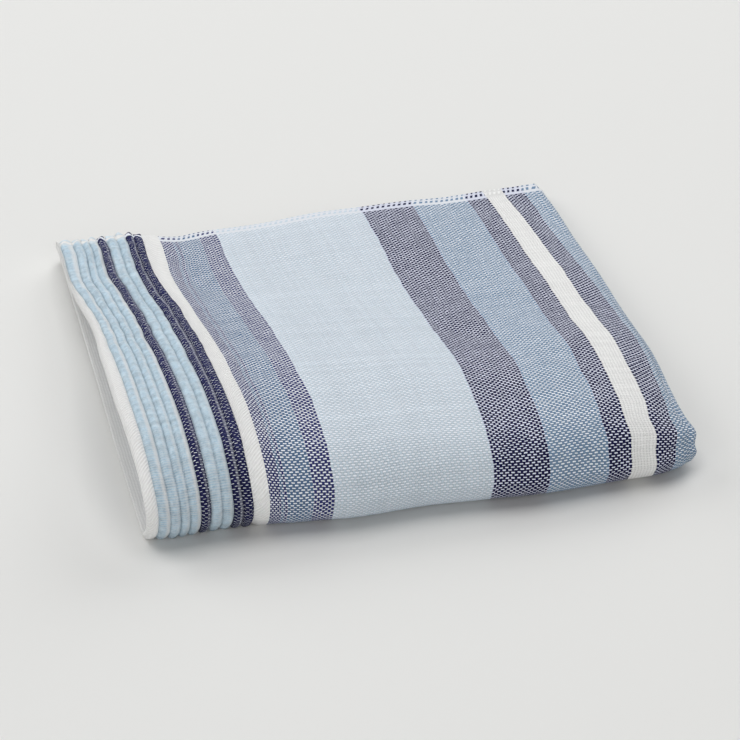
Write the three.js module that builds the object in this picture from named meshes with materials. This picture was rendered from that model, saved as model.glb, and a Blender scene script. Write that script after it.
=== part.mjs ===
// A square striped hand towel, folded in quarters and lying flat on a surface.
//
// Frame: millimetres, +Z up, origin on the surface under the middle of the towel. X runs along
// the front fold, from the ribbed end border (-X) to the cross fold (+X). Y runs from the front
// fold (-Y) to the selvedges (+Y).
//
// The cloth was folded across first, so that an inner layer lies against the outer one and the
// two join in the cross fold. Both were then folded over along the front, as one U that opens at
// the back and holds a hollow behind the fat front fold. The whole towel is one closed sheet.

import { BufferGeometry, CatmullRomCurve3, Float32BufferAttribute } from 'three';
import { Group, MathUtils, Mesh, MeshStandardMaterial, Vector3 } from 'three';

const { degToRad, lerp, smoothstep } = MathUtils;

// Cloth.
const CLOTH = 1.1;
const LAYER_GAP = 0.4;
const RIB_HEIGHT = 1.1;

// Folded towel.
const LEFT_EDGE = -87.5;
const RIGHT_EDGE = 86.5;
const FOLD_REACH = 4;
const FOLD_START = RIGHT_EDGE - FOLD_REACH;
const FOLD_FADE = 24;
const INNER_LAYER_START = LEFT_EDGE + 13;

// The inner layer's back edge steps forward of the outer one, from the first y to the second.
const INNER_BACK_STEP = 2;
const INNER_BACK_PLACES = [50, 85];

// Depth of the inner layer under the outside of the U in plain cloth, and the height of all four
// layers at the back, where they lie on each other.
const INNER_DEPTH = 2 * CLOTH + LAYER_GAP;
const BACK_HEIGHT = 2 * INNER_DEPTH + LAYER_GAP;

// The U, seen from the left, as the outside of the outer layer: from the top selvedge over the
// front to the bottom selvedge.
// Columns: y, height on the left, in the middle and on the right, radius of the cross fold.
const SECTION = [
  [84, 5.6, 5.6, 5.6, 1.3],
  [72.5, 8.3, 7.6, 6.2, 1.4],
  [58, 9.7, 9.4, 7.5, 1.6],
  [45, 11.5, 10.3, 8.8, 1.8],
  [30.5, 14.1, 11.3, 10.8, 2.0],
  [15, 17.7, 13.1, 12.8, 2.3],
  [-2, 21.5, 16.2, 14.8, 2.5],
  [-18, 24.6, 18.8, 17.5, 2.7],
  [-37, 27.5, 22.9, 20.2, 3.0],
  [-51, 28.3, 24.3, 21.2, 3.1],
  [-62, 27.7, 23.9, 20.9, 3.1],
  [-71, 26.0, 22.9, 20.0, 3.0],
  [-78, 23.4, 21.2, 18.4, 2.9],
  [-83.2, 19.9, 18.5, 16.0, 2.8],
  [-86.8, 15.6, 14.5, 12.4, 2.7],
  [-88.4, 10.6, 9.3, 7.6, 2.6],
  [-86.6, 5.2, 4.3, 3.4, 2.6],
  [-80, 0, 0, 0, 2.8],
  [-42, 0, 0, 0, 2.7],
  [0, 0, 0, 0, 2.3],
  [40, 0, 0, 0, 1.8],
  [68, 0, 0, 0, 1.4],
  [83.5, 0, 0, 0, 1.3],
];
const CREST_STEP = 8;
const FLAT_STEP = 17;

// Where along X those heights hold: the end, left, middle, right and the cross fold. On the
// cross fold the cloth has rolled down to a share of its height on the right.
const HEIGHT_PLACES = [LEFT_EDGE, -40, 25, 75, RIGHT_EDGE];
const ROLLED_DOWN = 0.7;

// How far the front stands back along X. Columns: x, shift.
const FRONT_ALONG_X = [
  [-87.5, 3.5],
  [-80, 2.2],
  [-66, 2.8],
  [-56, 2.4],
  [-36, 0.8],
  [-22, -0.6],
  [5, 0],
  [20, -1.0],
  [32, -1.7],
  [64, -0.8],
  [80, 0.5],
  [86.5, 3.4],
];
const FRONT_FADE = 80;

// How far the back edge of the top lies forward of the section's end: the ribs pull the cloth
// beside them. Columns: x, distance.
const BACK_EDGE = [
  [-87.5, 0],
  [-60, 0.3],
  [-55, 2.6],
  [-49, 7.0],
  [-43, 6.0],
  [-38, 4.6],
  [-20, 3.7],
  [0, 1.6],
  [20, 1.3],
  [50, 1.8],
  [70, 1.5],
  [86.5, 1.2],
];

// The ribbed end border, from the end inwards: widths of its ribs.
const BORDER = [3.9, 3.6, 3.2, 3.0, 3.5, 3.1, 3.5, 3.35, 3.15, 3.2];
const BORDER_WIDTH = BORDER.reduce((sum, width) => sum + width, 0);
const BORDER_END = LEFT_EDGE + BORDER_WIDTH;
const WHITE_BAND = 4.8;
const RIB_ROUNDNESS = 0.6;
const RIB_FADE = 14;
const RIB_STEPS = 4;

// Width of the border along the U, against its width at the front. Columns: section step, share.
const BORDER_ALONG_U = [
  [0, 0.83],
  [2, 0.88],
  [4, 0.91],
  [7, 0.92],
  [9, 0.98],
  [16, 1],
  [18, 0.96],
  [19, 0.91],
  [20, 0.86],
  [22, 0.8],
];

// How far the cross fold stands out or in along the U. Columns: section step, shift. It fades
// out towards the middle of the towel.
const RIGHT_EDGE_ALONG_U = [
  [0, -3.8],
  [1, -2.6],
  [3, -1.9],
  [5, -1.2],
  [7, -1.2],
  [8, -0.8],
  [10, -1.6],
  [11, -1.6],
  [12, -0.9],
  [13, 0.4],
  [14, -0.9],
  [15, -0.6],
  [17, -2.2],
  [20, 0.4],
  [22, -1.4],
];
const RIGHT_EDGE_FADE = 40;

// The end of the bottom layer curls up a little. Columns: section step, height.
const CURL_ALONG_U = [
  [18.4, 0],
  [19.4, 1.6],
  [20.4, 1.6],
  [21.6, 0],
];
const CURL_FADE = 18;

// Where the plain cloth is given points along X, on the outer layer and on the inner one.
const PLAIN_STEPS = 9;
const FOLD_STEPS = 6;
const INNER_STEPS = 9;
const INNER_SPACING = 1.4;

// Value of a two-column table at a place, with straight lines between its rows.
function at(table, place) {
  const next = table.findIndex(([from]) => from >= place);
  if (next === 0) return table[0][1];
  if (next < 0) return table[table.length - 1][1];
  const [x0, v0] = table[next - 1];
  const [x1, v1] = table[next];
  return lerp(v0, v1, (place - x0) / (x1 - x0));
}

// 1 in the ribbed border, fading to 0 in the cloth beside it.
function ribZone(x) {
  return 1 - smoothstep(x, BORDER_END, BORDER_END + RIB_FADE);
}

// The steps along the U that get a row of points: two to a step round the fat front.
function rowSteps() {
  const steps = [];
  for (let step = 0; step < SECTION.length; step++) {
    steps.push(step);
    if (step >= CREST_STEP && step < FLAT_STEP) steps.push(step + 0.5);
  }
  return steps;
}

// The U at one place along X, as a curve whose points are (y, z, radius of the cross fold).
function sectionAt(x) {
  const thicker = 2 * RIB_HEIGHT * ribZone(x);
  const points = SECTION.map(([y, left, middle, right, radius]) => {
    const edge = lerp(Math.min(right, BACK_HEIGHT), right, ROLLED_DOWN);
    const heights = [left, left, middle, right, edge];
    const z = at(HEIGHT_PLACES.map((place, i) => [place, heights[i]]), x);
    const lift = thicker * Math.min(1, z / BACK_HEIGHT);
    const shift = at(FRONT_ALONG_X, x) * smoothstep(-y, 0, FRONT_FADE);
    return new Vector3(y + shift, z + lift, radius);
  });
  return new CatmullRomCurve3(points, false, 'centripetal');
}

// Where a step along the U is read at this place along X, as a step of the section. Behind the
// crest the cloth is drawn forward of it by the back edge.
function drawnStep(x, step) {
  if (step >= CREST_STEP) return step;
  const spacing = SECTION[step][0] - SECTION[step + 1][0];
  return step + (at(BACK_EDGE, x) / spacing) * (1 - smoothstep(step, 1, CREST_STEP));
}

// The columns of points across the sheet, from the end border to the hidden end. Each one has
// its place x, its turn in the cross fold in degrees (90 outer layer, -90 inner layer) and the
// depth of the cloth's right side under the tops of the ribs.
function columns() {
  const list = [];
  let x = LEFT_EDGE;
  for (const width of BORDER) {
    for (let i = 0; i < RIB_STEPS; i++) {
      const share = i / RIB_STEPS;
      const rise = Math.sin(Math.PI * share) ** RIB_ROUNDNESS;
      list.push({ x: x + width * share, turn: 90, depth: RIB_HEIGHT * (1 - rise) });
    }
    x += width;
  }
  list.push({ x, turn: 90, depth: RIB_HEIGHT });
  x += WHITE_BAND;
  for (let i = 0; i <= PLAIN_STEPS; i++) {
    list.push({ x: lerp(x, FOLD_START, i / PLAIN_STEPS), turn: 90, depth: 0 });
  }
  for (let i = 1; i <= FOLD_STEPS; i++) {
    list.push({ x: RIGHT_EDGE, turn: 90 - (180 * i) / FOLD_STEPS, depth: 0 });
  }
  for (let i = 1; i <= INNER_STEPS; i++) {
    const share = (i / INNER_STEPS) ** INNER_SPACING;
    list.push({ x: lerp(FOLD_START, INNER_LAYER_START, share), turn: -90, depth: 0 });
  }
  return list;
}

// A point on each side of the cloth: the right side and the wrong side.
function clothPoints(column, step) {
  const section = sectionAt(column.x);
  const t = drawnStep(column.x, step) / (SECTION.length - 1);
  const { x: y, y: height, z: radius } = section.getPoint(t);
  const z = step < FLAT_STEP ? height : 0;
  const along = section.getTangent(t);
  const out = new Vector3(0, along.y, -along.x).normalize();

  // Place in the cross fold: x along the layers and offset across them, out of the U positive.
  const turn = degToRad(column.turn);
  const inner = column.turn === -90;
  const inFold = column.x === RIGHT_EDGE;
  let x = column.x;
  let offset = 0;
  if (inFold) {
    x = RIGHT_EDGE - radius + radius * Math.cos(turn);
    offset = radius * Math.sin(turn) - radius;
  } else if (inner) {
    const settled = smoothstep(RIGHT_EDGE - column.x, radius, FOLD_FADE);
    offset = lerp(-2 * radius, -INNER_DEPTH - RIB_HEIGHT * ribZone(x), settled);
  }

  // The edges aren't straight.
  const plainStart = BORDER_END + WHITE_BAND;
  if (x < plainStart) x = plainStart - (plainStart - x) * at(BORDER_ALONG_U, step);
  const nearRight = smoothstep(x, RIGHT_EDGE_FADE, RIGHT_EDGE);
  x += nearRight * at(RIGHT_EDGE_ALONG_U, step);
  const nearLeft = 1 - smoothstep(x, LEFT_EDGE, LEFT_EDGE + CURL_FADE);
  const curl = inner ? 0 : at(CURL_ALONG_U, step) * nearLeft;
  const back = inner ? INNER_BACK_STEP * smoothstep(y, ...INNER_BACK_PLACES) : 0;

  const place = new Vector3(x, y - back, z + curl).addScaledVector(out, offset);
  const normal = new Vector3(Math.cos(turn), 0, 0).addScaledVector(out, Math.sin(turn));
  const ground = CLOTH + (inner ? 0 : RIB_HEIGHT * ribZone(column.x));
  return [
    place.clone().addScaledVector(normal, -column.depth),
    place.clone().addScaledVector(normal, -ground),
  ];
}

// Moves a shape so that the origin lies under the middle of its box, at its foot.
function overOrigin(geometry) {
  geometry.computeBoundingBox();
  const { min, max } = geometry.boundingBox;
  return geometry.translate(-(min.x + max.x) / 2, -(min.y + max.y) / 2, -min.z);
}

// The closed sheet: right side, wrong side, and the four cut or woven edges between them.
function sheetGeometry() {
  const across = columns();
  const steps = rowSteps();
  const rows = steps.length - 1;
  const points = [];
  const sides = [[], []];
  for (const step of steps) {
    for (const column of across) {
      clothPoints(column, step).forEach((point, side) => {
        sides[side].push(points.length);
        points.push(point);
      });
    }
  }
  const count = across.length;
  const faces = [];
  const quad = (a, b, c, d) => faces.push(a, b, c, a, c, d);
  const [right, wrong] = sides;
  for (let j = 0; j < rows; j++) {
    for (let i = 0; i + 1 < count; i++) {
      const k = j * count + i;
      quad(right[k], right[k + count], right[k + count + 1], right[k + 1]);
      quad(wrong[k], wrong[k + 1], wrong[k + count + 1], wrong[k + count]);
    }
    const first = j * count;
    const last = first + count - 1;
    quad(right[first], wrong[first], wrong[first + count], right[first + count]);
    quad(right[last], right[last + count], wrong[last + count], wrong[last]);
  }
  const bottom = rows * count;
  for (let i = 0; i + 1 < count; i++) {
    quad(right[i], right[i + 1], wrong[i + 1], wrong[i]);
    quad(right[bottom + i], wrong[bottom + i], wrong[bottom + i + 1], right[bottom + i + 1]);
  }
  const geometry = new BufferGeometry();
  const values = points.flatMap((point) => point.toArray());
  geometry.setAttribute('position', new Float32BufferAttribute(values, 3));
  geometry.setIndex(faces);
  geometry.computeVertexNormals();
  return overOrigin(geometry);
}

// Soft cotton with pale blue as its main colour.
const cotton = new MeshStandardMaterial({ color: '#c9d8e2', roughness: 0.95, metalness: 0 });

const towel = new Mesh(sheetGeometry(), cotton);
towel.name = 'towel';

const handTowel = new Group();
handTowel.add(towel);

export default handTowel;
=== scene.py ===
import math

import bpy
import numpy as np
from bpy.props import FloatProperty, FloatVectorProperty, PointerProperty
from bpy.types import NodeSocket, Operator, Panel, PropertyGroup
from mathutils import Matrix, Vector


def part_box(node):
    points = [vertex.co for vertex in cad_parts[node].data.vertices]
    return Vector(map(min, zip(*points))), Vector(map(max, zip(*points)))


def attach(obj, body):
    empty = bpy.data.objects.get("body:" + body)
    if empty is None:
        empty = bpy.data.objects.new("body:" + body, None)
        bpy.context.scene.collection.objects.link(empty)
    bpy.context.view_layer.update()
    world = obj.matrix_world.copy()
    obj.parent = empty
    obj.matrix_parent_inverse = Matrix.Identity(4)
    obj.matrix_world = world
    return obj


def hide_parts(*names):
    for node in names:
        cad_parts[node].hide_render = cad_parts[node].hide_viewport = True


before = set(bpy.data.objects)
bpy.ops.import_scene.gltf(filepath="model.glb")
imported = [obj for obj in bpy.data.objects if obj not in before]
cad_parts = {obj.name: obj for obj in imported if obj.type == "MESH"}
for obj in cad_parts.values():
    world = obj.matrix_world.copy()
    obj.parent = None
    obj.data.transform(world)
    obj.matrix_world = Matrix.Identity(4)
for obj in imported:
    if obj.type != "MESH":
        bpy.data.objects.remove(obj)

bl_info = {
    "name": "Folded striped hand towel",
    "version": (1, 0, 0),
    "blender": (4, 5, 0),
    "location": "View3D > Sidebar > Towel",
    "description": "A square hand towel with stripes and a ribbed end border, folded in quarters",
    "category": "Object",
}

# The frame is in metres, +Z up. X runs along the front fold, from the ribbed end border (-X) to
# the cross fold (+X). Y runs from the front fold (-Y) to the selvedges (+Y). The tables below
# are in millimetres.
MM = 0.001
TOWEL = "towel"
CLOTH_UV = "cloth"
COVER = "yarn_cover"
CROWN = "rib_crown"
THREAD = "white_thread"


def linear(colour):
    """An sRGB colour written as six hex digits, as linear red, green, blue and alpha."""
    shares = [int(colour[i:i + 2], 16) / 255 for i in (0, 2, 4)]
    turned = [c / 12.92 if c <= 0.04045 else ((c + 0.055) / 1.055) ** 2.4 for c in shares]
    return (*turned, 1.0)


# The folded towel's two ends along X, and how far from the right one the cross fold starts.
LEFT_EDGE = -87.5
RIGHT_EDGE = 86.5
FOLD_REACH = 4
FOLD_START = RIGHT_EDGE - FOLD_REACH

# The inner layer: how far from the cross fold it has settled against the outer one, how far its
# selvedges stay in from the back edge, and the places along Y between which they come to that.
FOLD_FADE = 24
INNER_BACK_STEP = 2
INNER_BACK_PLACES = (50, 85)

# The U, seen from the left, as the outside of the outer layer: from the top selvedge over the
# front to the bottom selvedge.
# Columns: y, height on the left, in the middle and on the right, radius of the cross fold.
SECTION = np.array([
    (84, 5.6, 5.6, 5.6, 1.3),
    (72.5, 8.3, 7.6, 6.2, 1.4),
    (58, 9.7, 9.4, 7.5, 1.6),
    (45, 11.5, 10.3, 8.8, 1.8),
    (30.5, 14.1, 11.3, 10.8, 2.0),
    (15, 17.7, 13.1, 12.8, 2.3),
    (-2, 21.5, 16.2, 14.8, 2.5),
    (-18, 24.6, 18.8, 17.5, 2.7),
    (-37, 27.5, 22.9, 20.2, 3.0),
    (-51, 28.3, 24.3, 21.2, 3.1),
    (-62, 27.7, 23.9, 20.9, 3.1),
    (-71, 26.0, 22.9, 20.0, 3.0),
    (-78, 23.4, 21.2, 18.4, 2.9),
    (-83.2, 19.9, 18.5, 16.0, 2.8),
    (-86.8, 15.6, 14.5, 12.4, 2.7),
    (-88.4, 10.6, 9.3, 7.6, 2.6),
    (-86.6, 5.2, 4.3, 3.4, 2.6),
    (-80, 0, 0, 0, 2.8),
    (-42, 0, 0, 0, 2.7),
    (0, 0, 0, 0, 2.3),
    (40, 0, 0, 0, 1.8),
    (68, 0, 0, 0, 1.4),
    (83.5, 0, 0, 0, 1.3),
])

# Rows of the section: the crest, the one where creases start to fade out, and the first one that
# lies flat.
CREST_ROW = 8
CALM_ROW = 15
FLAT_ROW = 17

# Where along X those heights hold: the end, left, middle, right and the cross fold. On the
# cross fold the cloth has rolled down to a share of its height on the right.
HEIGHT_PLACES = [LEFT_EDGE, -40, 25, 75, RIGHT_EDGE]
ROLLED_DOWN = 0.7

# How far the front stands back along X. Columns: x, shift. It grows over this distance from
# y = 0 forwards.
FRONT_FADE = 80
FRONT_ALONG_X = np.array([
    (-87.5, 3.5),
    (-80, 2.2),
    (-66, 2.8),
    (-56, 2.4),
    (-36, 0.8),
    (-22, -0.6),
    (5, 0),
    (20, -1.0),
    (32, -1.7),
    (64, -0.8),
    (80, 0.5),
    (86.5, 3.4),
])

# How far the back selvedges lie forward of the section's ends: the ribs pull the cloth beside
# them. Columns: x, distance. It fades out between two lengths along the U.
BACK_FADE = (10, 125)
BACK_EDGE = np.array([
    (-87.5, 0),
    (-60, 0.3),
    (-55, 2.6),
    (-49, 7.0),
    (-43, 6.0),
    (-38, 4.6),
    (-20, 3.7),
    (0, 1.6),
    (20, 1.3),
    (50, 1.8),
    (70, 1.5),
    (86.5, 1.2),
])

# The ribbed end border, from the end inwards. Columns: width of the rib, its yarn, width of the
# white thread on its right.
BORDER = [
    (3.9, "white", 0),
    (3.6, "sky", 0.9),
    (3.2, "sky", 0.4),
    (3.0, "sky", 0.5),
    (3.5, "sky", 0.9),
    (3.1, "navy", 0.3),
    (3.5, "sky", 0.4),
    (3.35, "sky", 0.5),
    (3.15, "navy", 0.4),
    (3.2, "navy", 0),
]
BORDER_END = LEFT_EDGE + sum(width for width, _, _ in BORDER)

# How far beyond the ribs the cloth keeps room for their height.
RIB_FADE = 14

# The white threads: width of the widest one, how far in from the rib's right side each one lies,
# and how far it fades out on either side.
WIDEST_THREAD = 0.9
THREAD_INSET = 0.75
THREAD_BLUR = 0.4

# The flat white band after the ribs, the width over which it rises from the last one, and the
# shares of that at which it is given points.
WHITE_BAND = 4.8
BAND_END = BORDER_END + WHITE_BAND
BAND_RISE = 2.4
BAND_RISE_SHARES = (0, 0.3, 0.7)

# Painted glow: emission on the layer below that stands in for daylight through the end. Its
# strength, the share of it at the end itself, and how far from the end it is strongest and has
# gone.
PAINTED_GLOW_STRENGTH = 0.11
PAINTED_GLOW_AT_END = 0.2
PAINTED_GLOW_REACH = (6, 26)

# The flat stripes after the white band. Columns: x where the stripe starts, before the cloth is
# pulled out of shape, and its coloured yarn. The last one goes round the cross fold.
STRIPES = [
    (BAND_END, "indigo"),
    (-43.5, "teal"),
    (-36.3, "indigo"),
    (-29.1, "pale"),
    (20.6, "navy"),
    (38.7, "denim"),
    (57.3, "navy"),
    (64.7, "white"),
    (72.3, "navy"),
    (79.5, "denim"),
    (100.0, "pale"),
]

# Left of this place yarns of neighbouring stripes are mingled over this width.
MINGLED_END = -33.0
MINGLED_BY = 6.5

# Over this width beside the white band there are this many yarns more.
PACKED_WIDTH = 5
PACKED_YARNS = 3

# Width of the border along the U, against its width at the front. Columns: section row, share.
BORDER_ALONG_U = np.array([
    (0, 0.83),
    (2, 0.88),
    (4, 0.91),
    (7, 0.92),
    (9, 0.98),
    (16, 1),
    (18, 0.96),
    (19, 0.91),
    (20, 0.86),
    (22, 0.8),
])

# How far the cross fold stands out or in along the U. Columns: section row, shift. It grows from
# this x to the fold.
RIGHT_EDGE_FADE = 40
RIGHT_EDGE_ALONG_U = np.array([
    (0, -3.8),
    (1, -2.6),
    (3, -1.9),
    (5, -1.2),
    (7, -1.2),
    (8, -0.8),
    (10, -1.6),
    (11, -1.6),
    (12, -0.9),
    (13, 0.4),
    (14, -0.9),
    (15, -0.6),
    (17, -2.2),
    (20, 0.4),
    (22, -1.4),
])

# The end of the bottom layer curls up a little. Columns: section row, height. That fades out over
# this distance from the end.
CURL_FADE = 18
CURL_ALONG_U = np.array([
    (0, 0),
    (18.4, 0),
    (19.4, 1.6),
    (20.4, 1.6),
    (21.6, 0),
    (22, 0),
])

# How far the end, the ribs and the stripes of the outer layer are pulled along X from where they
# were woven. First the places that are given, from the end to the cross fold. Then rows: length
# along the U from the top selvedge, and the pull at each of those places.
PULL_PLACES = [
    -87.5, -83.6, -80, -68.7, -60.3, -54, -49.2, -29.1, 20.6, 48, 64.7, 72.3, 79.5, 86.5,
]
PULL_ALONG_U = np.array([
    (0, 0, -2.4, -1.2, -0.9, 0.3, 0.2, 0.9, 0.2, 0.2, 0.3, 1, 0.5, 0.6, 0),
    (14, 0, -2.6, -1.3, -1.3, -0.2, -1, 0.4, 0, 0, 0.3, 0.9, 0.5, 0.1, 0),
    (30, 0.2, -2.4, -1.8, -1.8, -1.2, -1.9, -1.2, -0.8, -0.1, 0, 0.9, 1.3, 0.2, 0),
    (46, 0.5, -1.1, -1.0, -0.7, -1.1, -1.3, -1.4, -0.8, -0.5, -0.2, 0.8, 1.3, 0.6, 0),
    (62, 1.1, 0.1, -0.2, -0.2, -0.2, -0.2, -1.1, -0.8, -0.5, -0.3, 0.7, 1.5, 1, 0),
    (78, 0.2, -0.6, -0.7, -0.9, -0.6, -0.7, -1.2, -0.6, -0.4, -0.4, 0.4, 1.1, 1.8, 0),
    (94, -1.7, -1.5, -1.4, -1.3, -0.9, -0.6, -1, -0.5, -0.3, -0.4, 0.2, 1.4, 2.1, 0),
    (110, -2.2, -1.6, -1.5, -1.2, -0.9, -0.8, -0.7, -0.3, -0.1, -0.6, -0.6, 1.1, 2.1, 0),
    (126, -2, -1.3, -1.2, -0.9, -0.7, -1, -1, -0.5, 0, -0.2, -0.2, 1.1, 2.1, 0),
    (142, -1.5, -1.1, -1, -0.7, -0.5, -0.8, -0.7, -0.2, -0.7, -0.5, -0.2, 1.3, 1.7, 0),
    (158, -1, -0.9, -0.9, -0.8, -0.5, -0.8, -0.8, -0.6, -0.9, -0.8, -0.2, 0.9, 0.9, 0),
    (166, -0.6, -0.8, -0.8, -0.7, -0.6, -1.1, -0.8, -0.8, -1.3, -1.2, -1.1, -0.3, -0.4, 0),
    (176, -0.3, -0.5, -0.5, -0.6, -0.6, -1, -0.8, -1, -1.7, -1.4, -1.2, -0.4, -0.9, 0),
    (184, 0, -0.4, -0.4, -0.6, -0.6, -0.7, -0.9, -1.5, -2.5, -2.2, -1.9, -1.1, -2.1, 0),
    (200, 0, 0, 0, 0, 0, 0, 0, 0, 0, 0, 0, 0, 0, 0),
])

# Soft creases on the outer layer. Columns: x, place along the U from the top selvedge, heading
# in degrees from +X towards the front, half length, half width, depth.
CREASES = np.array([
    (30, 103, 50, 26, 4.5, 0.55),
    (-10, 34, 24, 26, 4, 0.3),
    (-32, 10, 40, 12, 3.5, 0.4),
    (-40, 44, 57, 13, 3.5, 0.5),
    (-38, 121, -18, 16, 4, 0.4),
    (54, 66, 12, 20, 4, 0.3),
    (5, 140, -8, 40, 7, 0.3),
])

# Unevenness that has no place of its own: soft waves of the cloth, and puckers and sideways
# wandering of the ribs. Columns: size of its waves along the U, how much closer they lie across,
# depth, seed. Each is made of this many waves, with sizes between these shares of its own.
SOFT_WAVES = (34, 1, 0.22, 5)
RIB_PUCKERS = (6, 2.2, 0.28, 11)
RIB_WANDER = (13, 0.3, 0.12, 23)
WAVES = 7
WAVE_SIZES = (0.7, 1.6)

# On the ribs it is this strong in front, and by 1 stronger on the top. That changes between two
# lengths along the U, from the crest. In the plain cloth only a share of the wandering is left.
PUCKERS_IN_FRONT = 0.35
WANDER_IN_FRONT = 0.3
WANDER_IN_PLAIN = 0.3
CREST_FADE = (-40, 20)

# How far from the cross fold the soft waves set in, and how far from the end the puckers and the
# wandering do.
SOFT_FADE = (4, 16)
PUCKER_FADE = (1, 6)
WANDER_FADE = (0, 4)

# Where the cloth is stretched, so that its coloured yarns cover more: from none to all between
# these leanings to the front, and beside the ribs, left of two places, only by a share.
STRETCHED_LEANINGS = (0.05, 0.7)
STRETCHED_PLACES = (-36, -20)
STRETCHED_BESIDE_RIBS = 0.6

# The selvedge: its width, how far that blurs, the slant of its dashes, and its rows of coloured
# yarn in flat cloth and on a rib. Columns: middle of the row from the edge, half its width, how
# thin its beads are.
SELVEDGE = 5.4
SELVEDGE_BLUR = 0.2
SELVEDGE_SLANT = 0.35
SELVEDGE_ROWS = [(0.7, 0.55, 0.2), (2.9, 0.9, -0.1)]
RIB_BEADS = [(1.1, 0.9, -0.2), (5.2, 1.6, -0.8)]

# The fine slanting lines of the white end and band: their spacing and slant.
TWILL_PITCH = 1.1
TWILL_SLANT = 0.9

# Spacing of the mesh across: points on a rib, in the cross fold, and the distance between them in
# the outer and the inner layer. Then along the U: on the top, the front and the underside. Last
# the points beside an edge, and the share of the cloth's thickness at the edge itself.
RIB_STEPS = 8
FOLD_STEPS = 14
PLAIN_STEP = 1.6
INNER_STEP = 4.5
TOP_STEP = 1.7
FRONT_STEP = 1.0
UNDER_STEP = 4.5
EDGE_STEPS = [0, 0.1, 0.3, 0.6]
EDGE_THIN = 0.3

# Camera, in degrees, metres and millimetres of a full-frame sensor.
VIEW_AZIMUTH = -14.64
VIEW_ELEVATION = 33.68
VIEW_DISTANCE = 1.614
VIEW_TARGET = Vector((0.001, -0.0093, 0.0059))
SENSOR_WIDTH = 36
FOCAL_LENGTH = 248.8

# Floor: its side in metres and its colour.
FLOOR_SIDE = 6
FLOOR_COLOUR = "E5E5E3"

# Light: the strength of the fill from all round, and the soft boxes. Columns: name, place in
# metres, side in metres, power in watts.
FILL_STRENGTH = 0.01
SOFT_BOXES = [
    ("top_box", (0.0, 0.1, 2.0), 1.6, 22),
    ("left_box", (-1.2, 1.2, 1.0), 1.4, 16),
    ("right_box", (1.2, 1.2, 1.0), 1.4, 16),
    ("front_box", (0.0, -1.8, 0.9), 1.4, 10),
    ("corner_box", (-1.3, -1.3, 0.9), 1.4, 6),
]

# The towel's materials, in the order of its slots, and the one of each rib by its yarn.
WEAVE, SKY, NAVY, TWILL, GROUND = range(5)
RIB_SLOTS = {"white": TWILL, "sky": SKY, "navy": NAVY}


class TowelSizes(PropertyGroup):
    cloth: FloatProperty(
        name="Cloth", description="Thickness of the cloth between its ribs",
        default=1.1 * MM, min=0.3 * MM, unit="LENGTH", precision=5,
    )
    layer_gap: FloatProperty(
        name="Layer gap", description="Air between two layers that lie on each other",
        default=0.4 * MM, min=0, unit="LENGTH", precision=5,
    )
    rib_height: FloatProperty(
        name="Rib height", description="How far a rib of the end border stands up",
        default=1.1 * MM, min=0, unit="LENGTH", precision=5,
    )
    hidden_end: FloatProperty(
        name="Hidden end", description="How far the inner layer's end lies back from the outer one",
        default=13 * MM, min=0, unit="LENGTH", precision=4,
    )
    coloured_pitch: FloatProperty(
        name="Coloured yarns", description="Distance between the yarns that make the stripes",
        default=0.914 * MM, min=0.1 * MM, unit="LENGTH", precision=5,
    )
    white_pitch: FloatProperty(
        name="White yarns", description="Distance between the white yarns that cross the stripes",
        default=0.785 * MM, min=0.1 * MM, unit="LENGTH", precision=5,
    )


class TowelColours(PropertyGroup):
    white: FloatVectorProperty(
        name="White", description="Bleached yarn", subtype="COLOR", size=4, min=0, max=1,
        default=linear("E9E9E8"),
    )
    blued: FloatVectorProperty(
        name="Blued white", description="Bleached yarn that has taken some blue from others",
        subtype="COLOR", size=4, min=0, max=1, default=linear("E9EDF4"),
    )
    tinted: FloatVectorProperty(
        name="Tinted white", description="Bleached yarn that crosses the navy stripes",
        subtype="COLOR", size=4, min=0, max=1, default=linear("E0E4F3"),
    )
    sky: FloatVectorProperty(
        name="Sky", description="Light blue yarn of the ribs", subtype="COLOR", size=4,
        min=0, max=1, default=linear("A9C9DE"),
    )
    pale: FloatVectorProperty(
        name="Pale", description="Pale blue yarn of the wide stripe", subtype="COLOR", size=4,
        min=0, max=1, default=linear("C0CDD8"),
    )
    teal: FloatVectorProperty(
        name="Teal", description="Greenish blue yarn between the navy ones", subtype="COLOR",
        size=4, min=0, max=1, default=linear("566F8E"),
    )
    denim: FloatVectorProperty(
        name="Denim", description="Mid blue yarn", subtype="COLOR", size=4, min=0, max=1,
        default=linear("718AA4"),
    )
    indigo: FloatVectorProperty(
        name="Indigo", description="Dark blue yarn, a little faded", subtype="COLOR", size=4,
        min=0, max=1, default=linear("353A6B"),
    )
    navy: FloatVectorProperty(
        name="Navy", description="Dark blue yarn", subtype="COLOR", size=4, min=0, max=1,
        default=linear("1B1D42"),
    )


def smooth_curve(knots, values, places):
    """The values at these places of a smooth curve through the knots. Values may be rows."""
    knots = np.asarray(knots, float)
    values = np.asarray(values, float)
    slopes = np.gradient(values, knots, axis=0)
    places = np.clip(np.asarray(places, float), knots[0], knots[-1])
    after = np.clip(np.searchsorted(knots, places, side="right"), 1, len(knots) - 1)
    before = after - 1
    gap = knots[after] - knots[before]
    t = (places - knots[before]) / gap
    for _ in range(values.ndim - 1):
        gap = gap[..., None]
        t = t[..., None]
    ease = t * t * (3 - 2 * t)
    return (
        values[before] * (1 - ease)
        + values[after] * ease
        + slopes[before] * gap * t * (1 - t) ** 2
        - slopes[after] * gap * t * t * (1 - t)
    )


def smooth_step(places, low, high):
    """0 below low and 1 above high, with a soft passage between."""
    t = np.clip((places - low) / (high - low), 0, 1)
    return t * t * (3 - 2 * t)


def steps_between(start, end, spacing):
    """Places from start towards end, evenly spaced, without the end itself."""
    count = max(1, round(abs(end - start) / spacing))
    return list(np.linspace(start, end, count, endpoint=False))


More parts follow.
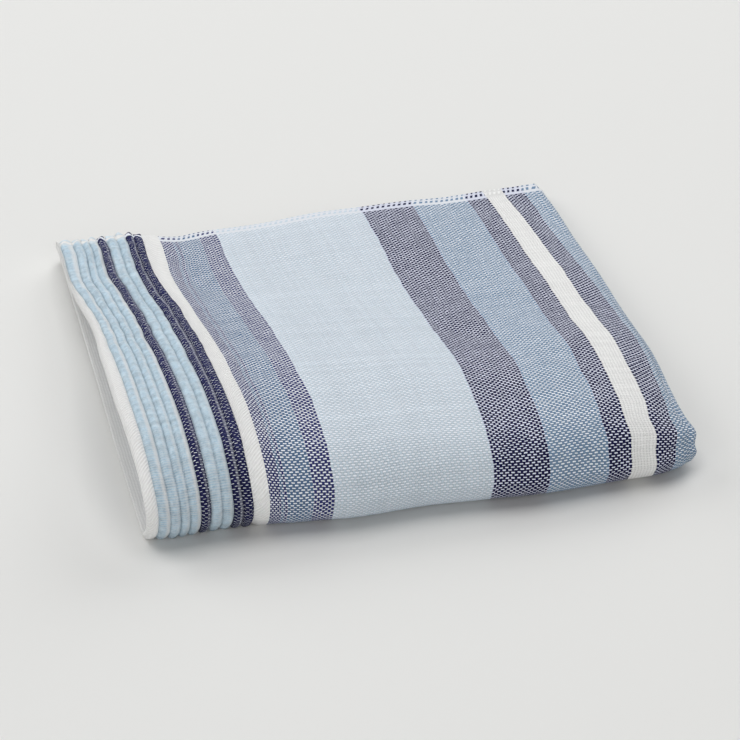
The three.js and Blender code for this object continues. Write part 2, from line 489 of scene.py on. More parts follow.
def rib_zone(x):
    """1 in the ribbed border, fading to 0 in the cloth beside it."""
    return 1 - smooth_step(x, BORDER_END, BORDER_END + RIB_FADE)


def columns(inner_start):
    """The columns of points across the sheet, from the end border to the hidden end.

    Columns of the result: place x, turn in the cross fold in degrees (90 on the outer layer and
    -90 on the inner one), height on a rib from 0 beside it to 1 on top (1 in flat cloth too),
    and the share of the white thread on the rib's right flank.
    """
    rows = [(LEFT_EDGE + step, 90, step / 2, 0) for step in EDGE_STEPS[:-1]]
    x = LEFT_EDGE
    for width, _, thread in BORDER:
        for i in range(RIB_STEPS):
            angle = math.pi * i / RIB_STEPS
            place = x + width * (1 - math.cos(angle)) / 2
            if place > LEFT_EDGE + EDGE_STEPS[-2]:
                off = abs(x + width - THREAD_INSET - place) / (thread / 2 + THREAD_BLUR)
                share = max(0, 1 - off) * thread / WIDEST_THREAD
                rows.append((place, 90, math.sin(angle), share))
        x += width
    for share in BAND_RISE_SHARES:
        rows.append((x + BAND_RISE * share, 90, share, 0))
    for start, end in ((x + BAND_RISE, BAND_END), (BAND_END, FOLD_START)):
        rows += [(place, 90, 1, 0) for place in steps_between(start, end, PLAIN_STEP)]
    rows.append((FOLD_START, 90, 1, 0))
    for i in range(FOLD_STEPS + 1):
        rows.append((RIGHT_EDGE, 90 - 180 * i / FOLD_STEPS, 1, 0))
    for place in steps_between(FOLD_START, inner_start + EDGE_STEPS[-1], INNER_STEP):
        rows.append((place, -90, 1, 0))
    rows += [(inner_start + step, -90, 1, 0) for step in reversed(EDGE_STEPS)]
    return np.array(rows, float)


def flat_places(across):
    """Where each column lies on the flat cloth, as x on the outer layer and going on past it."""
    radius = SECTION[:, 4].mean()
    x = np.minimum(across[:, 0], RIGHT_EDGE - radius)
    round_fold = np.where(across[:, 0] == RIGHT_EDGE, np.radians(90 - across[:, 1]) * radius, 0)
    moved = np.abs(np.diff(x)) + np.abs(np.diff(round_fold))
    turned_back = np.flatnonzero(across[:, 1] == -90)[1:]
    moved[turned_back - 1] = np.abs(np.diff(x))[turned_back - 1]
    return LEFT_EDGE + np.concatenate([[0], np.cumsum(moved)])


def section_lengths():
    """How far each row of the section lies from the top selvedge, along the cloth."""
    steps = np.diff(SECTION[:, [0, 2]], axis=0)
    return np.concatenate([[0], np.cumsum(np.hypot(steps[:, 0], steps[:, 1]))])


def rows_along(lengths):
    """The rows of points along the U, as lengths from the top selvedge."""
    crest, flat, end = lengths[CREST_ROW], lengths[FLAT_ROW], lengths[-1]
    last = EDGE_STEPS[-1]
    rows = list(EDGE_STEPS[:-1])
    rows += steps_between(last, crest, TOP_STEP)
    rows += steps_between(crest, flat, FRONT_STEP)
    rows += steps_between(flat, end - last, UNDER_STEP)
    rows += [end - step for step in reversed(EDGE_STEPS)]
    return np.array(rows)


def each_column(knots, values, places):
    """Smooth curves through the knots, one for each column of values and of places."""
    read = [smooth_curve(knots, values[:, i], places[:, i]) for i in range(places.shape[1])]
    return np.stack(read, 1)


def stripe_pull(x, along):
    """How far the outer layer is pulled along X, at columns x and these lengths along the U."""
    rows = smooth_curve(PULL_ALONG_U[:, 0], PULL_ALONG_U[:, 1:], along)
    return smooth_curve(PULL_PLACES, rows.T, x).T


def unevenness(x, along, size, closer, depth, seed):
    """A smooth seeded unevenness of about this depth, with waves of about this size along the U
    and this many times closer ones across."""
    chance = np.random.default_rng(seed)
    x = closer * x
    total = 0 * x
    for _ in range(WAVES):
        heading, start = chance.uniform(0, 2 * math.pi, 2)
        wave = 2 * math.pi / (size * chance.uniform(*WAVE_SIZES))
        total = total + np.sin(wave * (x * math.cos(heading) + along * math.sin(heading)) + start)
    return total / math.sqrt(WAVES) * depth


def crease_depth(x, along):
    """How far the listed creases push the outer layer in."""
    depth = np.zeros_like(x)
    for cx, cs, heading, half_length, half_width, deep in CREASES:
        turn = math.radians(heading)
        run = (x - cx) * math.cos(turn) + (along - cs) * math.sin(turn)
        off = (along - cs) * math.cos(turn) - (x - cx) * math.sin(turn)
        depth += deep * np.exp(-((run / half_length) ** 2) - (off / half_width) ** 2)
    return depth


def edge_share(distance):
    """Share of the cloth's thickness this far from a cut or woven edge, which is rounded."""
    out = 1 - np.clip(distance / EDGE_STEPS[-1], 0, 1)
    return EDGE_THIN + (1 - EDGE_THIN) * np.sqrt(1 - out * out)


class Grid:
    """The cloth's points in millimetres, as rows along the U by columns across.

    right and wrong are its two sides, flat and along the columns' and rows' places on the flat
    cloth, and marks the shares that the materials read at each point.
    """

    def __init__(self, sizes):
        sides = (sizes.cloth, sizes.layer_gap, sizes.rib_height, sizes.hidden_end)
        self.cloth, gap, self.rib, hidden_end = (side / MM for side in sides)
        self.inner_depth = 2 * self.cloth + gap
        self.back_height = 2 * self.inner_depth + gap
        self.lengths = section_lengths()
        self.along = rows_along(self.lengths)
        across = columns(LEFT_EDGE + hidden_end)
        self.x, degrees, self.crown, self.thread = across.T
        self.turn = np.radians(degrees)
        self.flat = flat_places(across)
        self.outer = degrees == 90
        self.in_fold = self.x == RIGHT_EDGE
        self.inner = (degrees == -90) & ~self.in_fold

        y, z, out_y, out_z = self.outside()
        x, offset = self.uneven(*self.layers(y.shape))
        x = self.fitted(x)
        near_left = 1 - smooth_step(x, LEFT_EDGE, LEFT_EDGE + CURL_FADE)
        curl = np.maximum(0, self.along_u(CURL_ALONG_U)) * near_left
        z = z + np.where(self.inner, 0, curl)
        y = y - np.where(self.inner, INNER_BACK_STEP * smooth_step(y, *INNER_BACK_PLACES), 0)
        place = np.stack([x, y + out_y * offset, z + out_z * offset], -1)
        sine = np.sin(self.turn)
        normal = np.stack([np.cos(self.turn) + 0 * x, out_y * sine, out_z * sine], -1)
        middle, half = self.thickness(x)
        right_side = place - (middle - half)[..., None] * normal
        wrong_side = place - (middle + half)[..., None] * normal

        # Over the frame's own box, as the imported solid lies.
        low, high = (np.array(corner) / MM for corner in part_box(TOWEL))
        both = np.concatenate([right_side.reshape(-1, 3), wrong_side.reshape(-1, 3)])
        move = (low + high) / 2 - (both.min(0) + both.max(0)) / 2
        move[2] = low[2] - both[:, 2].min()
        self.right = right_side + move
        self.wrong = wrong_side + move

        apart = smooth_step(x, *STRETCHED_PLACES)
        stretched = STRETCHED_BESIDE_RIBS + (1 - STRETCHED_BESIDE_RIBS) * apart
        self.marks = {
            COVER: smooth_step(-out_y, *STRETCHED_LEANINGS) * stretched,
            CROWN: self.crown + 0 * x,
            THREAD: self.thread + 0 * x,
        }

    def along_u(self, table):
        """A table whose first column is a section row, read at every row of points."""
        knots = np.interp(table[:, 0], np.arange(len(self.lengths)), self.lengths)
        return smooth_curve(knots, table[:, 1], self.along)[:, None]

    def outside(self):
        """The outside of the U at each point: y, z, and the way out from there."""
        left, middle, right = SECTION[:, 1:4].T
        edge = np.minimum(right, self.back_height)
        edge = edge + (right - edge) * ROLLED_DOWN
        zs = smooth_curve(HEIGHT_PLACES, [left, left, middle, right, edge], self.x).T
        thicker = 2 * self.rib * rib_zone(self.x)
        zs = zs + thicker * np.minimum(1, zs / self.back_height)
        shift = smooth_curve(FRONT_ALONG_X[:, 0], FRONT_ALONG_X[:, 1], self.x)
        ys = SECTION[:, :1] + shift * smooth_step(-SECTION[:, :1], 0, FRONT_FADE)
        forward = np.maximum(0, smooth_curve(BACK_EDGE[:, 0], BACK_EDGE[:, 1], self.x))
        drawn = forward * (1 - smooth_step(self.along, *BACK_FADE))[:, None]
        places = self.along[:, None] + drawn
        y = each_column(self.lengths, ys, places)
        z = np.maximum(0, each_column(self.lengths, zs, places))
        dy = np.gradient(y, self.along, axis=0)
        dz = np.gradient(z, self.along, axis=0)
        size = np.hypot(dy, dz)
        return y, z, dz / size, -dy / size

    def layers(self, shape):
        """Each point's x along the layers and its offset across them, outwards positive."""
        radius = smooth_curve(self.lengths, SECTION[:, 4], self.along)[:, None]
        x = np.broadcast_to(self.x, shape)
        settled = smooth_step(RIGHT_EDGE - x, radius, FOLD_FADE)
        under = self.inner_depth + self.rib * rib_zone(x)
        offset = np.where(self.in_fold, radius * np.sin(self.turn) - radius, 0.0)
        offset = np.where(self.inner, -2 * radius * (1 - settled) - under * settled, offset)
        fold_x = RIGHT_EDGE - radius + radius * np.cos(self.turn)
        return np.where(self.in_fold, fold_x, x), offset

    def uneven(self, x, offset):
        """The same after creases, puckers and pulls: ribs aren't straight and cloth isn't flat."""
        on_ribs = self.x < BORDER_END
        length = self.along[:, None] + 0 * x
        crest, calm, flat = (self.lengths[row] for row in (CREST_ROW, CALM_ROW, FLAT_ROW))
        on_top = 1 - smooth_step(length, crest + CREST_FADE[0], crest + CREST_FADE[1])
        soft = unevenness(x, length, *SOFT_WAVES)
        pucker = unevenness(x, length, *RIB_PUCKERS)
        wander = unevenness(x, length, *RIB_WANDER)

        rough = smooth_step(x, LEFT_EDGE + PUCKER_FADE[0], LEFT_EDGE + PUCKER_FADE[1])
        rough = self.crown * rough * (PUCKERS_IN_FRONT + on_top)
        dent = crease_depth(x, length) + soft * smooth_step(RIGHT_EDGE - x, *SOFT_FADE)
        dent = dent + np.where(on_ribs, pucker * rough, 0)
        raised = 1 - smooth_step(self.along, calm, flat)[:, None]
        offset = offset - np.where(self.in_fold, 0, dent * raised)

        free = smooth_step(x, LEFT_EDGE + WANDER_FADE[0], LEFT_EDGE + WANDER_FADE[1])
        free = free * np.where(on_ribs, 1, WANDER_IN_PLAIN) * (WANDER_IN_FRONT + on_top)
        pull = np.where(self.outer, stripe_pull(self.x, self.along) + wander * free, 0)
        return x + np.where(self.in_fold, 0, pull), offset

    def fitted(self, x):
        """x after the border has narrowed and the cross fold has moved, along the U."""
        share = self.along_u(BORDER_ALONG_U)
        x = np.where(x < BAND_END, BAND_END - (BAND_END - x) * share, x)
        near_fold = smooth_step(x, RIGHT_EDGE_FADE, RIGHT_EDGE)
        return x + near_fold * self.along_u(RIGHT_EDGE_ALONG_U)

    def thickness(self, x):
        """How deep the middle of the cloth lies under its ribs' tops, and half its thickness."""
        ground = self.cloth + np.where(self.inner, 0, self.rib * rib_zone(self.x)) + 0 * x
        depth = self.rib * (1 - self.crown) + 0 * x
        from_edge = np.minimum(self.along - self.along[0], self.along[-1] - self.along)[:, None]
        from_end = np.minimum(self.flat - self.flat[0], self.flat[-1] - self.flat)
        thin = edge_share(from_edge) * edge_share(from_end)
        return (ground + depth) / 2, (ground - depth) / 2 * thin


def add(tree, kind, inputs=(), output=0, **settings):
    """Adds a node with its settings and its input links or values, and gives one output."""
    node = tree.nodes.new("ShaderNode" + kind)
    for name, value in settings.items():
        setattr(node, name, value)
    pairs = inputs.items() if isinstance(inputs, dict) else enumerate(inputs)
    for socket, value in pairs:
        if isinstance(value, NodeSocket):
            tree.links.new(value, node.inputs[socket])
        else:
            node.inputs[socket].default_value = value
    return node.outputs[output] if node.outputs else None


def new_material(name):
    """An empty node material and its tree."""
    material = bpy.data.materials.new(name)
    material.use_nodes = True
    material.node_tree.nodes.clear()
    return material, material.node_tree


def cotton_shader(tree, colour, height, relief):
    """Matt cotton: dull, hardly glossy, with a faint sheen of loose fibres and a raised relief."""
    bump = add(tree, "Bump", {"Strength": 1.0, "Distance": relief, "Height": height})
    shader = add(tree, "BsdfPrincipled", {
        "Base Color": colour,
        "Roughness": 0.95,
        "IOR": 1.5,
        "Specular IOR Level": 0.06,
        "Sheen Weight": 0.012,
        "Sheen Roughness": 0.6,
        "Normal": bump,
    })
    add(tree, "OutputMaterial", {"Surface": shader})
    return shader.node


def cloth_place(tree, wander, waver):
    """Place on the flat cloth in millimetres, as one vector and as across and along. The yarns
    wander by a broad unevenness and waver by a fine one, each by this many millimetres."""
    uv = add(tree, "UVMap", uv_map=CLOTH_UV)
    place = add(tree, "VectorMath", {0: uv, "Scale": 1 / MM}, operation="SCALE")
    for scale, amount in ((0.09, wander), (0.5, waver)):
        noise = add(tree, "TexNoise", {"Vector": place, "Scale": scale, "Detail": 1.0}, output=1)
        centred = add(tree, "VectorMath", (noise, (0.5, 0.5, 0.5)), operation="SUBTRACT")
        moved = add(tree, "VectorMath", {0: centred, "Scale": amount}, operation="SCALE")
        place = add(tree, "VectorMath", (place, moved), operation="ADD")
    split = add(tree, "SeparateXYZ", (place,))
    return place, split, split.node.outputs[1]


def mixed(tree, share, first, second, kind="RGBA"):
    """The second colour, or number where kind is FLOAT, over the first one by this share."""
    before, after, result = {"RGBA": (6, 7, 2), "FLOAT": (2, 3, 0)}[kind]
    inputs = {0: share, before: first, after: second}
    return add(tree, "Mix", inputs, output=result, data_type=kind)


def stripe_colour(tree, place, shades):
    """The colour at this place across the flat cloth, from one shade for each stripe."""
    colour = shades[0]
    for (start, _), shade in zip(STRIPES[1:], shades[1:]):
        past = add(tree, "Math", (place, start), operation="GREATER_THAN")
        colour = mixed(tree, past, colour, shade)
    return colour


def plain_weave(tree, u, v, pitches, cover):
    """Coloured yarns along v and white ones along u, each over and under the next in turn.

    Gives the share of coloured yarn that shows and the height of the surface, each 0 to 1.
    A high cover packs the coloured yarns so that the white ones show as thin dashes.
    """
    waves = []
    for place, pitch in ((u, pitches[0]), (v, pitches[1])):
        turns = add(tree, "Math", (place, math.pi / pitch), operation="MULTIPLY")
        waves.append(add(tree, "Math", (turns,), operation="SINE"))
    crossing = add(tree, "Math", waves, operation="MULTIPLY")
    sizes = []
    for wave, roundness in zip(waves, (1.0, 1.2)):
        size = add(tree, "Math", (wave,), operation="ABSOLUTE")
        sizes.append(add(tree, "Math", (size, roundness), operation="POWER"))
    lead = add(tree, "Math", (sizes[0], 0.8, cover), operation="MULTIPLY_ADD")
    lead = add(tree, "Math", (crossing, 0.9, lead), operation="MULTIPLY_ADD")
    lead = add(tree, "Math", (lead, sizes[1]), operation="SUBTRACT")
    shown = add(tree, "MapRange", (lead, -0.05, 0.05, 0.0, 1.0), interpolation_type="SMOOTHSTEP")
    over = add(tree, "MapRange", (crossing, -1.0, 1.0, 0.0, 1.0))
    under = add(tree, "MapRange", (crossing, -1.0, 1.0, 1.0, 0.0))
    coloured = add(tree, "Math", (sizes[0], over), operation="MULTIPLY")
    white = add(tree, "Math", (sizes[1], under), operation="MULTIPLY")
    return shown, add(tree, "Math", (coloured, white), operation="MAXIMUM")


def selvedge(tree, u, v, pitch, crown=None):
    """The woven edge: white, with a row of beads and a row of slanted dashes where pairs of
    coloured yarns turn back. On a rib, crown, there is one bead instead.

    Gives the share of selvedge, and the share of coloured yarn in it.
    """
    edge = add(tree, "Math", (v, section_lengths()[-1] / 2), operation="PINGPONG")
    limits = (SELVEDGE - SELVEDGE_BLUR, SELVEDGE + SELVEDGE_BLUR)
    inside = add(tree, "MapRange", (edge, *limits, 1.0, 0.0))
    if crown is None:
        slanted = add(tree, "Math", (edge, SELVEDGE_SLANT, u), operation="MULTIPLY_ADD")
        turns = add(tree, "Math", (slanted, math.pi / pitch), operation="MULTIPLY")
        wave = add(tree, "Math", (turns,), operation="SINE")
        rows = SELVEDGE_ROWS
    else:
        wave = add(tree, "MapRange", (crown, 0.0, 1.0, -1.0, 1.0))
        rows = RIB_BEADS
    parts = []
    for middle, half, thinner in rows:
        away = add(tree, "Math", (edge, middle), operation="SUBTRACT")
        away = add(tree, "Math", (away,), operation="ABSOLUTE")
        row = add(tree, "MapRange", (away, 0.0, half, 1.0, 0.0))
        bead = add(tree, "Math", (wave, thinner), operation="SUBTRACT")
        parts.append(add(tree, "Math", (row, bead), operation="MINIMUM"))
    raised = parts[0]
    for part in parts[1:]:
        raised = add(tree, "Math", (raised, part), operation="MAXIMUM")
    shown = add(tree, "MapRange", (raised, 0.0, 0.25, 0.0, 1.0), interpolation_type="SMOOTHSTEP")
    return inside, shown


def yarn_tone(tree, place, pitch, spread):
    """A brightness near 1 that changes from yarn to yarn."""
    count = add(tree, "Math", (place, pitch), operation="DIVIDE")
    number = add(tree, "Math", (count,), operation="FLOOR")
    chance = add(tree, "TexWhiteNoise", {"W": number}, noise_dimensions="1D")
    return add(tree, "MapRange", (chance, 0.0, 1.0, 1 - spread, 1 + spread))


def shaded(tree, colour, *shares):
    """A colour darkened or lightened by each share in turn."""
    colour = colour[:3] if isinstance(colour, tuple) else colour
    for share in shares:
        colour = add(tree, "VectorMath", {0: colour, "Scale": share}, operation="SCALE")
    return colour


def field_material(sizes, colours):
    """Yarn-dyed plain weave cotton: coloured yarns make the stripes and bleached ones cross
    them, so that the eye sees a fine check of dots that is darkest where the yarn is navy."""
    material, tree = new_material("Yarn-dyed plain weave cotton")
    place, u, v = cloth_place(tree, wander=0.9, waver=0.5)
    pitches = (sizes.coloured_pitch / MM, sizes.white_pitch / MM)

    # The colour of a stripe is read in the middle of its yarn. Beside the white band the yarns
    # lie closer.
    yarn = add(tree, "Math", (u, pitches[0]), operation="SNAP")
    yarn = add(tree, "Math", (yarn, pitches[0] / 2), operation="ADD")
    chance = add(tree, "TexWhiteNoise", {"W": yarn}, noise_dimensions="1D")
    centred = add(tree, "Math", (chance, 0.5), operation="SUBTRACT")
    mingled = add(tree, "MapRange", (yarn, MINGLED_END - 1, MINGLED_END, MINGLED_BY, 0.0))
    yarn = add(tree, "Math", (centred, mingled, yarn), operation="MULTIPLY_ADD")
    coloured = stripe_colour(tree, yarn, [tuple(getattr(colours, name)) for _, name in STRIPES])
    closer = add(tree, "MapRange", (u, BAND_END, BAND_END + PACKED_WIDTH, -PACKED_YARNS, 0.0))
    packed = add(tree, "Math", (closer, pitches[0], u), operation="MULTIPLY_ADD")

    # The coloured yarns show most on the front, and unevenly everywhere. Elsewhere their loose
    # fibres make them paler.
    stretched = add(tree, "Attribute", attribute_name=COVER, output=2)
    cover = add(tree, "MapRange", (stretched, 0.0, 1.0, 0.35, 0.56))
    yarns = add(tree, "VectorMath", (place, (1.1, 0.05, 0.0)), operation="MULTIPLY")
    for vector, scale, spread in ((yarns, 1.0, 0.1), (place, 0.16, 0.14)):
        noise = add(tree, "TexNoise", {"Vector": vector, "Scale": scale, "Detail": 2.0})
        uneven = add(tree, "MapRange", (noise, 0.25, 0.75, -spread, spread))
        cover = add(tree, "Math", (cover, uneven), operation="ADD")
    shown, height = plain_weave(tree, packed, v, pitches, cover)
    coloured = shaded(tree, coloured, yarn_tone(tree, u, pitches[0], spread=0.04))
    whites = {"white": tuple(colours.white), "navy": tuple(colours.tinted)}
    white = stripe_colour(tree, u, [whites.get(name, tuple(colours.blued)) for _, name in STRIPES])
    white = shaded(tree, white, yarn_tone(tree, v, pitches[1], spread=0.03))
    woven = mixed(tree, shown, white, coloured)
    woven = shaded(tree, woven, yarn_tone(tree, v, pitches[1], spread=0.02))

    # The selvedge lies over the weave; painted shade between yarns, painted light on their tops.
    inside, dashes = selvedge(tree, u, v, pitches[0])
    edging = mixed(tree, dashes, white, coloured)
    woven = mixed(tree, inside, woven, edging)
    raised = add(tree, "MapRange", (dashes, 0.0, 1.0, 0.27, 0.8))
    height = mixed(tree, inside, height, raised, "FLOAT")
    gap_shade = add(tree, "MapRange", (height, 0.0, 0.6, 0.74, 1.08))
    cotton_shader(tree, shaded(tree, woven, gap_shade), height, relief=0.14 * MM)
    return material


def rib_material(name, yarn, sizes, colours, covers, brushing, thread_shown):
    """Cotton ribs: thick soft coloured yarns that nearly hide the white ones. Where they are
    brushed the eye sees a fuzzy cord with fine pale bars, else a dark cord with white specks.

    covers are how far the coloured yarns cover the white ones on the loose top and on the
    stretched front, and thread_shown the shares of white thread where it sets in and shows fully.
    """
    material, tree = new_material(name)
    place, u, v = cloth_place(tree, wander=0.3, waver=0.4)
    pitches = (sizes.coloured_pitch / (2 if brushing else 1) / MM, sizes.white_pitch / MM)
    white = tuple(colours.blued if yarn == "navy" else colours.white)
    crown = add(tree, "Attribute", attribute_name=CROWN, output=2)
    thread = add(tree, "Attribute", attribute_name=THREAD, output=2)
    stretched = add(tree, "Attribute", attribute_name=COVER, output=2)

    # The woven cord: white yarns show as specks, more unevenly on the loose top.
    fuzz = add(tree, "TexNoise", {"Vector": place, "Scale": 0.55, "Detail": 5.0, "Roughness": 0.78})
    cover = add(tree, "MapRange", (stretched, 0.0, 1.0, *covers))
    loose = add(tree, "MapRange", (stretched, 0.0, 1.0, 1.5, 0.25))
    uneven = add(tree, "Math", (fuzz, 0.5), operation="SUBTRACT")
    cover = add(tree, "Math", (uneven, loose, cover), operation="MULTIPLY_ADD")
    shown, height = plain_weave(tree, u, v, pitches, cover)
    tone = add(tree, "MapRange", (fuzz, 0.3, 0.7, 0.78, 1.14))
    # The coloured yarn is lighter on the loose top: its loose fibres and painted sheen.
    fibres = add(tree, "MapRange", (stretched, 0.0, 1.0, 0.8, 1.0))
    coloured = add(tree, "Gamma", (tuple(getattr(colours, yarn)), fibres))
    # Painted shade in the grooves between the ribs, a touch lighter on their crowns.
    groove_shade = add(tree, "MapRange", (crown, 0.0, 0.8, 0.72, 1.04))
    # Painted shade of puckers: darker and lighter patches stretched along the cord.
    stretch = add(tree, "VectorMath", (place, (0.22, 0.4, 0.0)), operation="MULTIPLY")
    folds = add(tree, "TexNoise", {"Vector": stretch, "Scale": 1.0, "Detail": 1.0})
    puckers = add(tree, "MapRange", (folds, 0.36, 0.64, 0.88, 1.07))
    coloured = shaded(tree, coloured, tone, groove_shade, puckers)
    woven = mixed(tree, shown, white, coloured)

    # Fine pale bars, brushed fibres and the white thread on the right flank.
    turns = add(tree, "Math", (v, 2 * math.pi / pitches[1]), operation="MULTIPLY")
    wave = add(tree, "Math", (turns,), operation="SINE")
    strength = add(tree, "MapRange", (stretched, 0.0, 1.0, brushing / 2, brushing * 2))
    bar = add(tree, "MapRange", {0: wave, 1: -0.4, 2: 0.8, 3: 0.0, 4: strength})
    brushed = add(tree, "MapRange", (fuzz, 0.36, 0.7, 0.0, brushing * 1.6))
    between = add(tree, "MapRange", (thread, *thread_shown, 0.0, 0.8))
    for share in (bar, brushed, between):
        woven = mixed(tree, share, woven, white)

    inside, bead = selvedge(tree, u, v, pitches[0] * 2, crown)
    beads = mixed(tree, min(1, 2 * brushing), coloured, white)
    woven = mixed(tree, inside, woven, mixed(tree, bead, white, beads))
    height = mixed(tree, inside, height, bead, "FLOAT")
    both = add(tree, "Math", (height, fuzz), operation="ADD")
    cotton_shader(tree, woven, both, relief=0.16 * MM)
    return material


def twill_material(colours):
    """Bleached cotton twill: the rolled end and the white band, with fine slanting lines."""
    material, tree = new_material("Bleached cotton twill")
    place, u, v = cloth_place(tree, wander=0.4, waver=0.3)
    lines = add(tree, "Math", (v, TWILL_SLANT, u), operation="MULTIPLY_ADD")
    turns = add(tree, "Math", (lines, 2 * math.pi / TWILL_PITCH), operation="MULTIPLY")
    wave = add(tree, "Math", (turns,), operation="SINE")
    height = add(tree, "MapRange", (wave, -1.0, 1.0, 0.0, 1.0))
    # Painted shade in the hollows between the slanting lines, painted light on their ridges.
    tone = add(tree, "MapRange", (wave, -1.0, 1.0, 0.96, 1.06))
    fuzz = add(tree, "TexNoise", {"Vector": place, "Scale": 0.8, "Detail": 4.0})
    soft = add(tree, "MapRange", (fuzz, 0.3, 0.7, 0.96, 1.02))
    stretched = add(tree, "Attribute", attribute_name=COVER, output=2)
    # Painted light: the twill is drawn lighter where it faces the front.
    closed = add(tree, "MapRange", (stretched, 0.0, 0.6, 1.0, 1.12))
    twill = shaded(tree, tuple(colours.white), tone, soft, closed)
    cotton_shader(tree, twill, height, relief=0.16 * MM)
    return material


def back_material(sizes, colours):
    """Bleached cotton ground: the wrong side, where only white yarns show. Beside the end it has a
    painted glow, emission that stands in for daylight coming through the hem above it."""
    material, tree = new_material("Bleached cotton ground")
    _, u, v = cloth_place(tree, wander=0.8, waver=0.4)
    pitches = (sizes.coloured_pitch / MM, sizes.white_pitch / MM)
    _, height = plain_weave(tree, u, v, pitches, cover=0.0)
    # Painted shade between the yarns and a little painted light on their tops.
    gap_shade = add(tree, "MapRange", (height, 0.0, 0.8, 0.8, 1.03))
    # Painted glow: emission for daylight through the hem, strongest just in from the end.
    strongest, gone = (LEFT_EDGE + reach for reach in PAINTED_GLOW_REACH)
    near = add(tree, "MapRange", (u, LEFT_EDGE, strongest, PAINTED_GLOW_AT_END, 1.0))
    far = add(tree, "MapRange", (u, strongest, gone, 1.0, 0.0))
    through = add(tree, "Math", (near, far), operation="MULTIPLY")
    through = add(tree, "Math", (through, PAINTED_GLOW_STRENGTH), operation="MULTIPLY")
    ground = shaded(tree, tuple(colours.white), gap_shade)
    shader = cotton_shader(tree, ground, height, relief=0.1 * MM)
    shader.inputs["Emission Color"].default_value = tuple(colours.white)
    tree.links.new(through, shader.inputs["Emission Strength"])
    return material


def mesh_piece(name, points, faces, flats, slots, materials):
    """A mesh object from points in millimetres, faces, each point's place on the flat cloth, each
    face's material slot and the materials."""
    mesh = bpy.data.meshes.new(name)
    mesh.from_pydata((points * MM).tolist(), [], faces.tolist())
    layer = mesh.uv_layers.new(name=CLOTH_UV)
    corners = np.zeros(len(mesh.loops), np.int32)
    mesh.loops.foreach_get("vertex_index", corners)
    layer.data.foreach_set("uv", (flats[corners] * MM).astype(np.float32).ravel())
    for material in materials:
        mesh.materials.append(material)
    mesh.polygons.foreach_set("material_index", slots.astype(np.int32))
    mesh.polygons.foreach_set("use_smooth", np.ones(len(mesh.polygons), bool))
    mesh.update()
    mesh.validate()
    piece = bpy.data.objects.new(name, mesh)
    bpy.context.scene.collection.objects.link(piece)
    return piece


def sheet_faces(rows, count):
    """Faces of a closed sheet of rows by count points on each side, as numbers of its points:
    the right side, the wrong side, the ribbed end, the hidden end and the two selvedges."""
    right = np.arange(rows * count).reshape(rows, count)
    wrong = right + rows * count

    def quads(a, b, c, d):
        return np.stack([a, b, c, d], -1).reshape(-1, 4)

    def corners(side):
        return side[:-1, :-1], side[1:, :-1], side[1:, 1:], side[:-1, 1:]

    a, b, c, d = corners(wrong)
    return np.concatenate([
        quads(*corners(right)),
        quads(a, d, c, b),
        quads(right[:-1, 0], wrong[:-1, 0], wrong[1:, 0], right[1:, 0]),
        quads(right[:-1, -1], right[1:, -1], wrong[1:, -1], wrong[:-1, -1]),
        quads(right[0, :-1], right[0, 1:], wrong[0, 1:], wrong[0, :-1]),
        quads(right[-1, :-1], wrong[-1, :-1], wrong[-1, 1:], right[-1, 1:]),
    ])


def face_slots(rows, flat):
    """The material slot of each face, in the order of sheet_faces, from the columns' places."""
    middle = (flat[:-1] + flat[1:]) / 2
    across = np.where(middle < BAND_END, TWILL, WEAVE)
    start = LEFT_EDGE
    for width, yarn, _ in BORDER:
        on_rib = (middle > start) & (middle < start + width)
        across = np.where(on_rib, RIB_SLOTS[yarn], across)
        start += width
    right_side = np.tile(across, rows - 1)
    wrong_side = np.full(len(right_side), GROUND)
    ribbed_end, hidden_end = np.full(rows - 1, TWILL), np.full(rows - 1, GROUND)
    return np.concatenate([right_side, wrong_side, ribbed_end, hidden_end, across, across])


class TOWEL_OT_cloth(Operator):
    """Weave and fold the towel's cloth as one closed sheet"""
    bl_idname = "towel.cloth"
    bl_label = "Folded cloth"

    def execute(self, context):
        sizes, colours = context.scene.towel_sizes, context.scene.towel_colours
        grid = Grid(sizes)
        rows, count = grid.right.shape[:2]
        points = np.concatenate([grid.right.reshape(-1, 3), grid.wrong.reshape(-1, 3)])
        flat, along = np.meshgrid(grid.flat, grid.along)
        flats = np.tile(np.stack([flat.ravel(), along.ravel()], -1), (2, 1))
        sky_ribs = rib_material(
            "Brushed sky cotton ribs", "sky", sizes, colours,
            covers=(1.6, 1.6), brushing=0.26, thread_shown=(0, 0.8),
        )
        navy_ribs = rib_material(
            "Navy cotton ribs", "navy", sizes, colours,
            covers=(0.98, 0.95), brushing=0.0, thread_shown=(0.1, 0.6),
        )
        materials = [
            field_material(sizes, colours),
            sky_ribs,
            navy_ribs,
            twill_material(colours),
            back_material(sizes, colours),
        ]
        faces, slots = sheet_faces(rows, count), face_slots(rows, grid.flat)
        piece = mesh_piece("folded_towel", points, faces, flats, slots, materials)
        for name, share in grid.marks.items():
            mark = piece.data.attributes.new(name, "FLOAT", "POINT")
            mark.data.foreach_set("value", np.tile(share.ravel(), 2).astype(np.float32))
        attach(piece, "root")
        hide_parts(TOWEL)
        return {"FINISHED"}


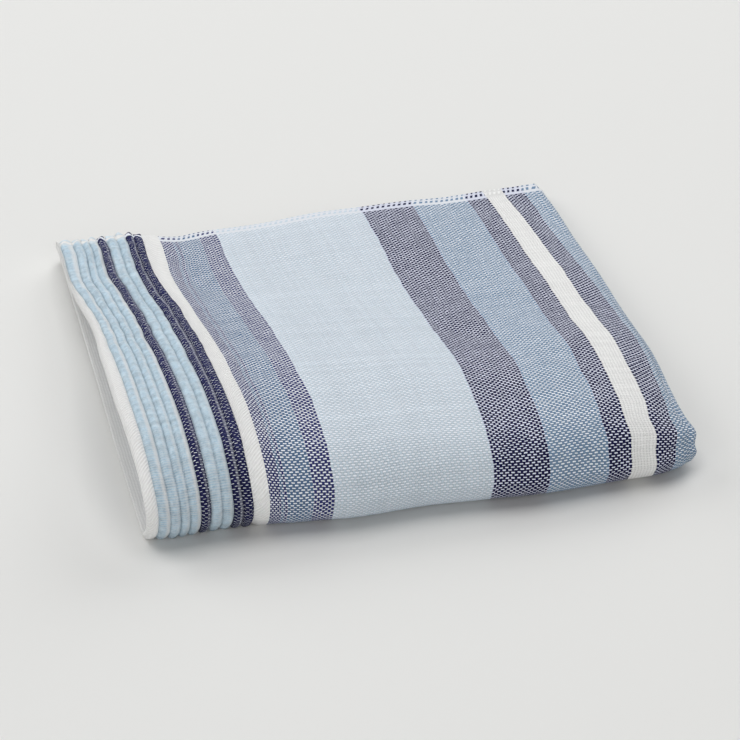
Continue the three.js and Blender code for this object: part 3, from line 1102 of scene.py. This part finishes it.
class TOWEL_OT_stage(Operator):
    """Add the pale floor, the soft lights and the camera"""
    bl_idname = "towel.stage"
    bl_label = "Floor, lights and camera"

    def execute(self, context):
        scene = context.scene
        bpy.ops.mesh.primitive_plane_add(size=FLOOR_SIDE)
        floor = context.object
        floor.name = "floor"
        material, tree = new_material("Matt paper")
        paper = {"Base Color": linear(FLOOR_COLOUR), "Roughness": 0.9}
        add(tree, "OutputMaterial", {"Surface": add(tree, "BsdfPrincipled", paper)})
        floor.data.materials.append(material)

        scene.world = bpy.data.worlds.new("Studio")
        scene.world.use_nodes = True
        background = scene.world.node_tree.nodes["Background"]
        background.inputs["Color"].default_value = linear("FFFFFF")
        background.inputs["Strength"].default_value = FILL_STRENGTH
        for name, place, size, power in SOFT_BOXES:
            lamp = bpy.data.lights.new(name, "AREA")
            lamp.shape = "SQUARE"
            lamp.size = size
            lamp.energy = power
            soft_box = bpy.data.objects.new(name, lamp)
            soft_box.location = place
            soft_box.rotation_euler = (-soft_box.location).to_track_quat("-Z", "Y").to_euler()
            scene.collection.objects.link(soft_box)

        data = bpy.data.cameras.new("photo_camera")
        data.sensor_width = SENSOR_WIDTH
        data.lens = FOCAL_LENGTH
        camera = bpy.data.objects.new("photo_camera", data)
        azimuth, elevation = math.radians(VIEW_AZIMUTH), math.radians(VIEW_ELEVATION)
        back = Vector((
            math.sin(azimuth) * math.cos(elevation),
            -math.cos(azimuth) * math.cos(elevation),
            math.sin(elevation),
        ))
        camera.location = VIEW_TARGET + back * VIEW_DISTANCE
        camera.rotation_euler = (-back).to_track_quat("-Z", "Y").to_euler()
        scene.collection.objects.link(camera)
        scene.camera = camera
        scene.view_settings.view_transform = "Standard"
        return {"FINISHED"}


class TOWEL_PT_panel(Panel):
    """The towel's sizes, colours and steps"""
    bl_label = "Hand towel"
    bl_idname = "TOWEL_PT_panel"
    bl_space_type = "VIEW_3D"
    bl_region_type = "UI"
    bl_category = "Towel"

    def draw(self, context):
        layout = self.layout
        for group in (context.scene.towel_sizes, context.scene.towel_colours):
            for name in group.__annotations__:
                layout.prop(group, name)
        for operator in OPERATORS:
            layout.operator(operator.bl_idname)


OPERATORS = (TOWEL_OT_cloth, TOWEL_OT_stage)
CLASSES = (TowelSizes, TowelColours, *OPERATORS, TOWEL_PT_panel)


def register():
    for cls in CLASSES:
        bpy.utils.register_class(cls)
    bpy.types.Scene.towel_sizes = PointerProperty(type=TowelSizes)
    bpy.types.Scene.towel_colours = PointerProperty(type=TowelColours)


def unregister():
    del bpy.types.Scene.towel_colours
    del bpy.types.Scene.towel_sizes
    for cls in reversed(CLASSES):
        bpy.utils.unregister_class(cls)


def main():
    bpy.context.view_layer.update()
    register()
    bpy.ops.towel.cloth()
    bpy.ops.towel.stage()


if __name__ == "__main__":
    main()
